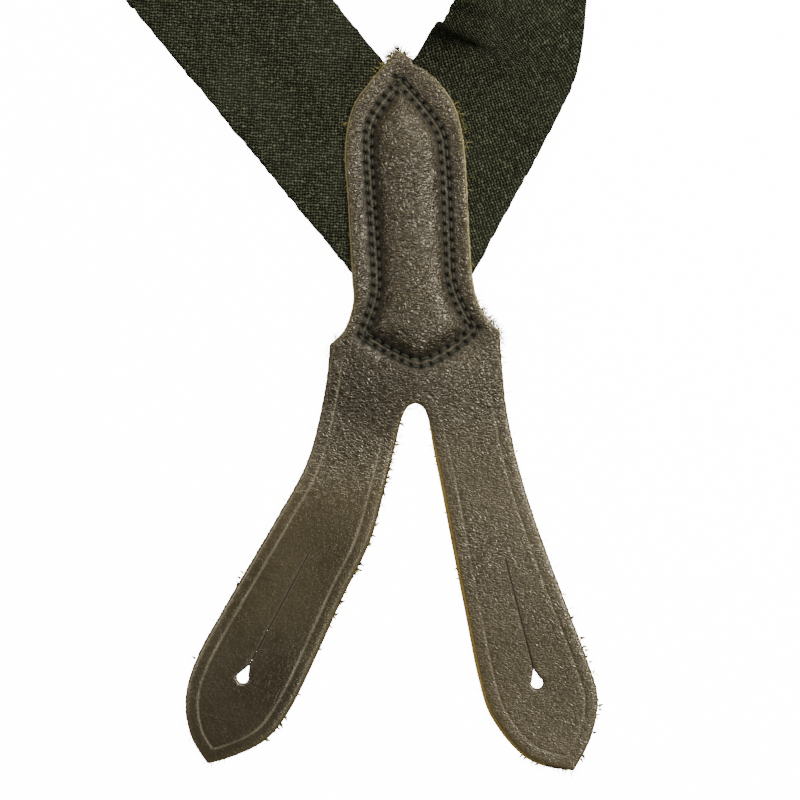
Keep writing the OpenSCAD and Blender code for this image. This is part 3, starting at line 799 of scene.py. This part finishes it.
def yokeHeight(x, y, fromOutline):
    at = np.stack([x, y], 1)
    flange = yoke["backingThick"] + yoke["strapThick"] + yoke["thick"]
    z = mix(flange, yoke["tailFlat"], ease((yoke["rampTop"] - y) / (yoke["rampTop"] - yoke["rampFoot"])))
    # the patch falls away to its ears on both sides of the crotch
    fall = ease((-18 - y) / 16) * (1 - ease((-44 - y) / 26))
    z = z - 0.085 * np.abs(x - 1) * fall
    z = np.maximum(z, yoke["tailFlat"])
    # soft waves along the tails
    wave = ease((-44 - y) / 12)
    z = z + wave * 0.35 * (1 + np.sin(y * 0.13 + x * 0.05)) * 0.5
    z = z + wave * 0.5 * bump(y + 66 - 0.12 * x, 7.0) * (x < 0)
    inPanel = insideOf(at, innerRow)
    depth = np.where(inPanel, distanceTo(at, innerRow), 0.0)
    rise = 1 - (1 - np.clip(depth / yoke["crownReach"], 0, 1)) ** 1.9
    z = z + yoke["crown"] * rise
    seam = np.zeros(len(at))
    for row in (outerRow, innerRow):
        beside = distanceTo(at, row)
        z = z - yoke["rowDip"][0] * bump(beside, yoke["rowDip"][1])
        seam = np.maximum(seam, bump(beside, 0.95))
    z = z - yoke["seamDip"][0] * bump(distanceTo(at, seamLine), yoke["seamDip"][1])
    # the flange dips from its edge to the seam
    beside = np.where(insideOf(at, outerRow), 0, distanceTo(at, outerRow))
    deepest, reach = yoke["flangeDip"]
    dip = (1 - ease(beside / reach)) * (y > -34 - 0.12 * np.abs(x))
    z = z - deepest * np.where(inPanel, bump(depth, 1.6), dip)
    holes = np.concatenate([rowHoles(outerRow, yoke["stitchPitch"]),
                            rowHoles(innerRow, yoke["stitchPitch"])])
    reach = nearest(at, holes)
    z = z - yoke["needle"][0] * bump(reach, yoke["needle"][1])
    # mask of painted shade: needle holes, the band along the stitch rows and the slits are painted dark
    pitShade = np.clip(2.2 * bump(reach, 0.52), 0, 1)
    pitShade = np.maximum(pitShade, 0.42 * seam)
    for hole, slit in ((yoke["leftHole"], yoke["leftSlit"]), (yoke["rightHole"], yoke["rightSlit"])):
        pitShade = np.maximum(pitShade, 0.9 * bump(distanceTo(at, [hole, slit], False), 0.20))
    # pressed line along the edges of the tails
    onTails = ease((-29 - y) / 6)
    z = z - yoke["crease"][0] * onTails * bump(fromOutline - yoke["creaseInset"], yoke["crease"][1])
    return z, pitShade


def creaseLines(sides, outline, inset):
    # the pressed line a little way inside each edge of the tails
    lines = []
    for points in sides:
        line = insetLine(resample(smoothLine(points) + [np.array(points[-1], float)], 0.8, False), inset)
        lines.append(line[insideOf(line, outline) & (distanceTo(line, outline) > inset * 0.93)])
    return lines


def yokeFlare(x, y):
    # the cut edges that lean outwards, round the crotch and down the inner sides of the tails
    leftTail = x < -0.1 * (-y - 45)
    facing = np.where(leftTail, ease((x + 0.53 * (-y - 45) + 12) / 8),
                      ease((0.38 * (-y - 45) + 8 - x) / 8))
    right = ease((x - 2) / 4)
    return 0.16 + 0.24 * ease((y + 32) / 6) + mix(0.22, 0.62, right) * facing * ease((-46 - y) / 12)


def yokeFinish(x, y, fromOutline):
    # painted light and painted shade on the surface, its pressed line painted pale as a painted
    # highlight, how coarse its grain is, and its cut edge stained
    onTails = ease((-30 - y) / 8)
    right = ease((x - 2) / 12)
    # painted light and shade: the left of the patch darker, the right tail lighter than the left
    tone = 0.16 - 0.14 * (1 - onTails) * ease((-7 - x) / 3) + onTails * mix(-0.16, 0.06, right)
    # painted light on the middle of the left tail
    tone = tone + 0.35 * bump(y + 66, 14) * (1 - right) * onTails
    # painted light towards the top of the patch
    tone = tone + 0.30 * (1 - onTails) * ease((y - 12) / 16)
    # the pressed line is painted pale: a painted highlight, stronger on the left tail
    pressed = onTails * np.where(right < 0.5, 0.62, 0.30) * bump(fromOutline - yoke["creaseInset"], 0.15)
    pressed = pressed * (0.72 + 0.28 * np.sin(y * 0.23 + x * 0.4))
    # no line round the crotch
    pressed = pressed * (1 - bump(x - 1, 9) * (1 - ease((-54 - y) / 10)))
    coarse = 1 - onTails * mix(0.80, 0.62, right) * ease((-30 - y) / 38)
    coarse = coarse + 0.20 * bump(y + 58, 10) * (1 - right)
    coarse = coarse + 0.20 * bump(y + 84, 12) * right * bump(x - 16, 8)
    # painted shade over the left tail, a little everywhere and more towards its foot
    deep = (1 - right) * (0.06 * onTails + 0.50 * ease((-92 - y) / 22) * ease((x + 70 - 0.3 * y) / 60))
    # painted shade across the top of the left tail
    deep = deep + 0.42 * bump(y + 47, 9) * (1 - right)
    inner = bump(x - 8, 5.5) * (y < -50) + bump(x - 14, 5.5) * (y < -88) + bump(x - 24, 9) * (y < -116)
    stain = np.where(y > -30, 0.0, np.where((x > 2) & (inner > 0.45), 0.5, 0.95))
    return {"tone": np.clip(tone, 0, 1), "pressed": pressed, "coarse": np.clip(coarse, 0, 1),
            "deep": np.clip(deep, 0, 1), "stain": stain}


# where the cut edge is most frayed: centre, reach and how much more than elsewhere
yokeTufts = [((-4.5, 37.5), 2.4, 6.0), ((19.0, -27.0), 3.2, 4.0), ((-18.6, -31.4), 1.6, 0.7),
             ((0, -58), 7.0, 0.5), ((12, 22), 3.0, 1.5), ((-47, -131), 4.0, 0.3), ((37, -133), 4.0, 0.4)]
yokeCrumbs = [((-4, -62), 7.0, 4.0), ((-14, -87), 9.0, 4.0), ((44, -112), 9.0, 3.0),
              ((33, -132), 6.0, 3.0), ((-30, -121), 7.0, 2.0), ((-40, -86), 6.0, 1.0)]


def stitchRow(name, row, pitch, heightAt, size, body, replaces, seed):
    spots, ahead = stitchPlaces(row, pitch)
    farInside = np.full(len(spots), 9.0)
    z, _ = heightAt(spots[:, 0], spots[:, 1], farInside)
    points = np.column_stack([spots, z + size[1] * stitchLook["proud"]])
    along = np.column_stack([ahead, np.zeros(len(ahead))])
    obj = scatter(name, stitchTree, points, along, size, stitchLook["variation"], seed, thread)
    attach(obj, body)
    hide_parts(replaces)
    return obj


def makeBacking(name, outline, thick, body, replaces):
    # the flat leather under the straps
    def flat(x, y, fromOutline):
        return np.full(len(x), thick), np.zeros(len(x))

    obj, _ = leatherShell(name, outline, [], flat, thick, grid=backingGrid)
    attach(obj, body)
    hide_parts(replaces)


def makeYoke():
    slits = [np.array([yoke[side + "Hole"], yoke[side + "Slit"]]) for side in ("left", "right")]
    cuts = [keyholeOutline(*slit, yoke["holeRadius"], yoke["slitWidth"]) for slit in slits]
    pressed = creaseLines([tailLeft, insideLeft, insideRight, tailRight], np.array(yokeOutline),
                          yoke["creaseInset"])
    face, edgeAt = leatherShell("yokeFace", yokeOutline, cuts, yokeHeight, yoke["thick"],
                                [outerRow, innerRow], pressed + slits, yokeFlare, yokeFinish)
    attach(face, "root")
    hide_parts("yoke_face")
    makeBacking("yokeBacking", patchOutline, yoke["backingThick"], "root", "yoke_backing")
    stitchRow("yokeOuterStitches", outerRow, yoke["stitchPitch"], yokeHeight, yoke["stitchSize"],
              "root", "yoke_stitch_outer", 3)
    stitchRow("yokeInnerStitches", innerRow, yoke["stitchPitch"], yokeHeight, yoke["stitchSize"],
              "root", "yoke_stitch_inner", 4)
    fuzz("yokeEdgeFibres", edgeAt, 850, (1.15, 0.15), 21, "root", yokeTufts)
    fuzz("yokeEdgeCrumbs", edgeAt, 120, (0.85, 0.62), 22, "root", yokeCrumbs)
    print("yoke made:", len(face.data.polygons), "faces")


makeYoke()


# ---- webbing: a grid of points turned into a closed strap with soft edges

def clothSurface(grid):
    normal = np.cross(np.gradient(grid, axis=1), np.gradient(grid, axis=0))
    return normal / (np.linalg.norm(normal, axis=2, keepdims=True) + 1e-9)


def ribbon(name, grid, clothAt, thick):
    # grid[i][j]: middle of the cloth at station i, lane j, from one edge to the other
    n, m = grid.shape[:2]
    normal = clothSurface(grid)
    lanes = np.abs(clothAt[0, :, 0])
    across = grid[:, -1] - grid[:, 0]
    across /= np.linalg.norm(across, axis=1)[:, None] + 1e-9
    uneven = np.random.default_rng(40 + n).normal(0, strap["unevenEdge"], (n, 2))
    grid = grid.copy()
    grid[:, :4] += across[:, None] * uneven[:, None, :1]
    grid[:, -4:] += across[:, None] * uneven[:, None, 1:]
    toEdge = np.clip((lanes.max() - lanes) / strap["edgeRound"], 0, 1)
    half = thick / 2 * np.sqrt(np.clip(1 - (1 - toEdge) ** 2, 0.06, 1))
    sheets = [(grid + turn * normal * half[None, :, None]).reshape(-1, 3) for turn in (1, -1)]
    at = np.concatenate([clothAt.reshape(-1, 2)] * 2)
    at = np.column_stack([at, np.zeros(len(at))])
    k = np.arange(n * m).reshape(n, m)
    quads = np.stack([k[:-1, :-1], k[:-1, 1:], k[1:, 1:], k[1:, :-1]], -1).reshape(-1, 4)
    faces = quads.tolist() + (quads[:, ::-1] + n * m).tolist()
    # the two long edges, then the two ends, which are shaded flat
    for line, way in ((k[:, 0], 1), (k[:, -1], -1), (k[0], 1), (k[-1], -1)):
        below = line + n * m
        faces += np.stack([line[:-1], line[1:], below[1:], below[:-1]], -1)[:, ::way].tolist()
    obj = makeMesh(name, np.concatenate(sheets), faces, [webbing], attributes={"clothAt": at})
    smooth = np.arange(len(faces)) < len(faces) - 2 * (m - 1)
    obj.data.polygons.foreach_set("use_smooth", smooth)
    return obj


strap = {
    "width": 38.0, "thick": 1.6,
    "step": 1.3,
    "rise": 1.2,            # height of the straps where they enter the yoke
    "leftExit": (-26.4, 30.4), "leftHeading": -39.6,
    "rightExit": (20.8, 36.5), "rightHeading": 28.0,
    # legs: length, then heading, roll and height at its end
    "leftLegs": [(5, -39.6, 0, 1.2), (55, -39.6, 0, 0), (240, -5, 0, 0), (70, -2, 90, 0),
                 (110, -178, 90, 0), (70, -180, 0, 0)],
    "rightLegs": [(5, 28, 0, 1.2), (12, 28, -16, 0.6), (20, 25, -40, 0), (84, 8, -90, 0),
                  (210, 0, -90, 0), (150, 180, -90, 0), (70, 180, 0, 0)],
    "run": 840.0, "adjustGap": 150.0, "plateLength": 32.0,
    "turnIn": 1.45, "ringHeight": 13.0,
    "hidden": 62,           # length laid out under the leather, then cut back to just inside it
    "insideBy": 5.0,
    "sway": (0.35, 0.047),  # height of the gentle waves, and how fast they come
    "unevenEdge": 0.13, "edgeRound": 0.7,
    "joinAt": 121.0,        # where the right strap's curl near the yoke ends
}
legShape = {
    "rise": (28, 3),                         # where the strap rises to the adjuster, before its plate
    "fold": (4.6, 2.15), "foldRadius": 1.35,  # the sewn end's fold: how far in, and its height
    "sewn": ((12, 3.5), (24, 3.45)),         # the folded-over end: how far back, and its height
}
laneAt = np.array([-19, -18.85, -18.55, -18] + list(np.linspace(-17, 17, 24)) + [18, 18.55, 18.85, 19])


def route(start, heading, legs):
    x, y = start
    roll, height = 0.0, strap["rise"]
    stations, run = [], 0.0
    for length, headingTo, rollTo, heightTo in legs:
        n = int(math.ceil(length / strap["step"]))
        d = length / n
        for i in range(n):
            t = ease(i / n)
            stations.append((x, y, mix(heading, headingTo, i / n), mix(roll, rollTo, t),
                             mix(height, heightTo, t), run))
            turn = math.radians(mix(heading, headingTo, (i + 0.5) / n))
            x, y, run = x + d * math.sin(turn), y + d * math.cos(turn), run + d
        heading, roll, height = headingTo, rollTo, heightTo
    stations.append((x, y, heading, roll, height, run))
    return np.array(stations)


def strapGrid(stations, lanes):
    x, y, heading, roll, height, run = stations.T
    h, r = np.radians(heading), np.radians(roll)
    side = np.column_stack([np.cos(h), -np.sin(h), np.zeros(len(h))])
    across = side * np.cos(r)[:, None] + np.array([0, 0, 1.0]) * np.sin(r)[:, None]
    lift = (np.abs(np.sin(r)) * strap["width"] + np.abs(np.cos(r)) * strap["thick"]) / 2
    middle = np.column_stack([x, y, height + lift])
    grid = middle[:, None, :] + across[:, None, :] * lanes[None, :, None]
    at = np.stack(np.broadcast_arrays(lanes[None, :], run[:, None]), -1).astype(float)
    return grid, at


def trimInside(grid, at):
    # each lane starts a little way inside the patch: lanes are moved along themselves to get there
    n, m = grid.shape[:2]
    out, outAt = grid.copy(), at.copy()
    flat = insideOf(grid[:, :, :2].reshape(-1, 2), patchOutline).reshape(n, m)
    for j in range(m):
        inside = np.flatnonzero(flat[:, j])
        last = inside[-1] if len(inside) else 0
        first = max(0, min(last - int(strap["insideBy"] / strap["step"]), n - 2))
        share = np.linspace(first, n - 1, n)
        low = np.floor(share).astype(int)
        high = np.minimum(low + 1, n - 1)
        f = (share - low)[:, None]
        out[:, j] = mix(grid[low, j], grid[high, j], f)
        outAt[:, j] = mix(at[low, j], at[high, j], f)
    return out, outAt


def backwards(stations):
    # straight stations before the first one, for the hidden end under the leather
    x, y, heading, roll, height, run = stations[0]
    n = int(strap["hidden"] / strap["step"])
    turn = math.radians(heading)
    extra = [(x - k * strap["step"] * math.sin(turn), y - k * strap["step"] * math.cos(turn),
              heading, roll, height, run - k * strap["step"]) for k in range(n, 0, -1)]
    return np.concatenate([extra, stations])


def makeStrap(side):
    stations = backwards(route(strap[side + "Exit"], strap[side + "Heading"], strap[side + "Legs"]))
    grid, at = strapGrid(stations, laneAt)
    if side == "right":
        grid = curlNearYoke(grid, stations)
    run = stations[:, 5]
    sway = ease((run - 40) / 60) * ease((stations[-1, 5] - run) / 60)
    high, rate = strap["sway"]
    grid[:, :, 2] += (sway * high * (1 + np.sin(run * rate)))[:, None]
    grid, at = trimInside(grid, at)
    obj = ribbon(side + "Strap", grid, at, strap["thick"])
    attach(obj, "root")
    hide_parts("strap_" + side)
    print(side, "strap made:", len(obj.data.polygons), "faces, ends at", stations[-1, :2].round(2))
    return stations[-1]


def soften(values, over):
    # running mean along a strap, with its two ends held
    padded = np.pad(values, over // 2, mode="edge")
    return np.convolve(padded, np.ones(over) / over, "valid")


# the outer edge of the right strap as it turns up onto that edge after the yoke
outerEdge = [(8.5, -27.1), (15.7, -13.6), (24.46, 2.85), (29.69, 12.35), (34.68, 21.85), (39.2, 31.35),
             (41.2, 40.85), (42.1, 50.35), (44.4, 70), (48.2, 90), (52.8, 110), (57.6, 130), (61.6, 150)]


def curlNearYoke(grid, stations):
    edgeLine = np.array(smoothLine(outerEdge, 12))
    run = runAlong(edgeLine)
    s = stations[:, 5]
    n = int(np.searchsorted(s, strap["joinAt"])) + 1
    want = np.linspace(0, run[-1], n)
    ex, ey = np.interp(want, run, edgeLine[:, 0]), np.interp(want, run, edgeLine[:, 1])
    heading = np.arctan2(np.gradient(ex), np.gradient(ey))
    local = mix(s[0], strap["joinAt"], want / run[-1])
    leftRoll = np.radians(np.interp(local, [-12, -5, 3, 14, 40, 80, 121], [0, 14, 32, 44, 62, 80, 90]))
    rightRoll = np.radians(np.interp(local, [-12, 3, 14, 40, 80, 121], [0, 2, 8, 46, 84, 90]))
    leftRoll, rightRoll = soften(leftRoll, 11), soften(rightRoll, 11)
    narrow = np.interp(local, [-20, -8, 20, 80], [1.0, 0.96, 0.96, 1.0])
    base = np.interp(local, [-62, 0, 30], [1.2, 1.2, 0]) + strap["thick"] / 2
    share = (strap["width"] / 2 - laneAt) / strap["width"]
    out = grid.copy()
    for i in range(n):
        at = np.array([ex[i], ey[i], base[i]])
        previous = 0.0
        for j in range(len(laneAt) - 1, -1, -1):
            step = (share[j] - previous) * strap["width"] * narrow[i]
            angle = mix(rightRoll[i], leftRoll[i], (share[j] + previous) / 2)
            flat = math.cos(angle)
            at = at + step * np.array([-math.cos(heading[i]) * flat, math.sin(heading[i]) * flat,
                                       math.sin(angle)])
            out[i, j] = at
            previous = share[j]
    return out


def yzRibbon(name, path, width, at, alongFrom):
    # a strap that follows a line in Y and Z, straight across X
    p = np.array(path, float)
    run = runAlong(p)
    s = np.linspace(0, run[-1], max(8, int(run[-1] / strap["step"])))
    s = np.unique(np.concatenate([s, run]))
    y, z = np.interp(s, run, p[:, 0]), np.interp(s, run, p[:, 1])
    lanes = laneAt * width / strap["width"]
    grid = np.zeros((len(s), len(lanes), 3))
    grid[:, :, 0] = at[0] - lanes[None, :]
    grid[:, :, 1] = at[1] + y[:, None]
    grid[:, :, 2] = z[:, None]
    cloth = np.stack(np.broadcast_arrays(lanes[None, :], (alongFrom + s)[:, None]), -1).astype(float)
    return ribbon(name, grid, cloth, strap["thick"]), run[-1]


def arc(centre, radius, start, end, steps=14):
    angles = np.radians(np.linspace(start, end, steps + 1))
    return [(centre[0] + radius * math.cos(a), centre[1] + radius * math.sin(a)) for a in angles]


def softBend(a, b, steps=12):
    return [(mix(a[0], b[0], k / steps), mix(a[1], b[1], float(ease(k / steps))))
            for k in range(steps + 1)]


def makeFront(side, end):
    x, y, run = end[0], end[1], end[5]
    drop = strap["run"] - run
    ringY = y - drop
    half = strap["thick"] / 2
    barZ = strap["turnIn"] + strap["thick"]
    upper = barZ + strap["turnIn"] + half
    gap = strap["adjustGap"]
    down = gap + strap["plateLength"] / 2
    far, near = legShape["rise"]
    path = [(drop, half)] + softBend((down + far, half), (down + near, upper))
    path += [(gap, upper), (gap / 2, upper), (gap / 4, upper)]
    path += arc((0, barZ), strap["turnIn"] + half, 90, 270)
    front, length = yzRibbon(side + "FrontStrap", path, strap["width"], (x, ringY), run)
    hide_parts(f"strap_{side}_front", f"{side}_strap_turn")
    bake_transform(front)
    into, foldZ = legShape["fold"]
    foldY = gap - strap["plateLength"] / 2 + into
    path = [(0, half), (30, half + 0.1), (foldY, half)]
    path += arc((foldY, foldZ), legShape["foldRadius"], -90, 90, 8)
    path += [(foldY - behind, z) for behind, z in legShape["sewn"]]
    back, length = yzRibbon(side + "ReturnStrap", path, strap["width"], (x, ringY), run + drop + 7)
    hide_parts(f"{side}_strap_return", f"{side}_sewn_end")
    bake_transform(back)
    return (x, ringY)


leftEnd, rightEnd = makeStrap("left"), makeStrap("right")
leftRing, rightRing = makeFront("left", leftEnd), makeFront("right", rightEnd)
print("rings at", np.round(leftRing, 2), np.round(rightRing, 2))


# ---- leather tabs on the rings, given here from the ring's lower bar

tab = {
    "thick": 1.6, "backingThick": 1.2, "hangerWidth": 24.0,
    "face": 6.0,             # top of the patch, over the hanger's two plies
    "rampTop": -39.0, "rampFoot": -64.0,
    "stitchPitch": 2.42, "creaseInset": 3.0,
    "hole": (19.2, -88.0), "slit": (11.6, -62.0),
    "holeRadius": 1.5, "slitWidth": 0.09,
    "rowDip": (0.4, 0.8), "needle": (0.60, 0.46), "crease": (0.09, 0.20),
    "stitchSize": (1.75, 0.62),
    "hangerEnd": -38, "hangerBend": (-9, -3),   # the hanger's end, and where it comes down to the ring
}
tabPatch = [(0, -8), (6.6, -12.6), (12, -19), (12.9, -27), (12.6, -34), (16, -41.5)]
tabTail = [(16, -41.5), (17.4, -50), (20.6, -62), (24.8, -76), (27.5, -88), (26.6, -95), (22, -101)]
tabInside = [(22, -101), (15.4, -98.4), (11, -90), (8.2, -78), (5, -64), (2.6, -55.5), (0, -53)]
tabRow = [(0, -10.6), (5.4, -14.6), (9.9, -19.8), (10.8, -27), (10.6, -34.5), (13.2, -40.6)]


def mirrored(half):
    # right half, from its top down, made into a closed line that runs anticlockwise
    return [(-q[0], q[1]) for q in half] + [q for q in half[::-1]]


def makeTab(side, ringAt):
    cx, cy = ringAt[0], ringAt[1] - strap["ringHeight"]

    def lineFrom(*parts):
        # both sides of the tab from the lines of its right half
        return np.array(mirrored([q for part in parts for q in part])) + (cx, cy)

    outline = lineFrom(*map(smoothLine, (tabPatch, tabTail, tabInside)), [(0, -53)])[:-1]
    row = resample(lineFrom(smoothLine(tabRow), [(13.2, -40.6), (0, -44.5)]), 0.8)
    patch = lineFrom(smoothLine(tabPatch), [(16, -41.5), (9, -44), (0, -44)])
    holes = rowHoles(row, tab["stitchPitch"])
    slits = [np.array([(cx + turn * q[0], cy + q[1]) for q in (tab["hole"], tab["slit"])])
             for turn in (1, -1)]

    def tabHeight(x, y, fromOutline):
        u, v = x - cx, y - cy
        down = ease((tab["rampTop"] - v) / (tab["rampTop"] - tab["rampFoot"]))
        z = mix(tab["face"], tab["thick"], down)
        z = z - 0.05 * np.abs(u) * ease((-8 - v) / 8) * (1 - ease((-44 - v) / 18))
        z = z + 0.35 * ease((-60 - v) / 14) * (1 + np.sin(v * 0.16 + u * 0.1)) * 0.5
        at = np.stack([x, y], 1)
        z = z - tab["rowDip"][0] * bump(distanceTo(at, row), tab["rowDip"][1])
        reach = nearest(at, holes)
        z = z - tab["needle"][0] * bump(reach, tab["needle"][1])
        pressed = bump(fromOutline - tab["creaseInset"], tab["crease"][1])
        z = z - tab["crease"][0] * ease((-41 - v) / 6) * pressed
        # mask of painted shade: needle holes and slits are painted dark
        pitShade = np.clip(2.2 * bump(reach, 0.52), 0, 1)
        for slit in slits:
            pitShade = np.maximum(pitShade, 0.9 * bump(distanceTo(at, slit, False), 0.22))
        return z, pitShade

    def tabFinish(x, y, fromOutline):
        onTails = ease((cy - 40 - y) / 8)
        pressed = onTails * 0.55 * bump(fromOutline - tab["creaseInset"], 0.15)
        # the tone is painted light, brighter towards the right side; the tails get a little painted
        # shade, and their pressed line is painted pale as a painted highlight
        return {"tone": 0.10 + 0.12 * ease((x - cx + 6) / 12), "pressed": pressed,
                "coarse": 1 - 0.7 * onTails, "deep": 0.1 * onTails,
                "stain": np.where(onTails > 0, 0.5, 0.0)}

    body = side + "_tab"
    cuts = [keyholeOutline(*slit, tab["holeRadius"], tab["slitWidth"]) for slit in slits]
    pressed = creaseLines([outline[outline[:, 1] < cy - 42]], outline, tab["creaseInset"])
    face, edgeAt = leatherShell(side + "TabFace", outline, cuts, tabHeight, tab["thick"], [row],
                                slits + pressed, finishAt=tabFinish)
    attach(face, body)
    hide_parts(side + "_tab_face")
    makeBacking(side + "TabBacking", patch, tab["backingThick"], body, side + "_tab_backing")
    stitchRow(side + "TabStitches", row, tab["stitchPitch"], tabHeight, tab["stitchSize"], body,
              side + "_tab_stitch", 5)
    fuzz(side + "TabFibres", edgeAt, 420, (0.75, 0.09), 31 if side == "left" else 32, body, [])
    barZ = strap["turnIn"] + strap["thick"]
    half = strap["thick"] / 2
    low = tab["backingThick"] + half
    high = low + strap["thick"]
    end, far, near = tab["hangerEnd"], *tab["hangerBend"]
    path = [(end, low), (-12, low)] + softBend((far, low), (near, half), 5) + [(-1, half)]
    path += arc((0, barZ), strap["turnIn"] + half, -90, 90)
    path += softBend((near, barZ * 2 - half), (far, high), 5) + [(end, high)]
    hanger, length = yzRibbon(side + "TabHanger", path, tab["hangerWidth"], (cx, cy), 0)
    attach(hanger, body)
    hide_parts(side + "_tab_hanger")
    print(side, "tab made")


makeTab("left", leftRing)
makeTab("right", rightRing)


# ---- fittings and the last stitches keep their modelled shapes

fittings = {"parts": ("adjuster_frame", "lever_pin", "lever", "ring"), "edge": 0.22, "sharper": 50}


def makeFittings():
    for side in ("left", "right"):
        for part in fittings["parts"]:
            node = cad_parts[f"{side}_{part}"]
            node.data.materials.clear()
            node.data.materials.append(brass)
            bevel = node.modifiers.new("softEdges", "BEVEL")
            bevel.width = fittings["edge"] * mm
            bevel.segments = 2
            bevel.limit_method = "ANGLE"
            bevel.angle_limit = math.radians(fittings["sharper"])
        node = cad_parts[side + "_sewn_stitch"]
        node.data.materials.clear()
        node.data.materials.append(thread)


makeFittings()
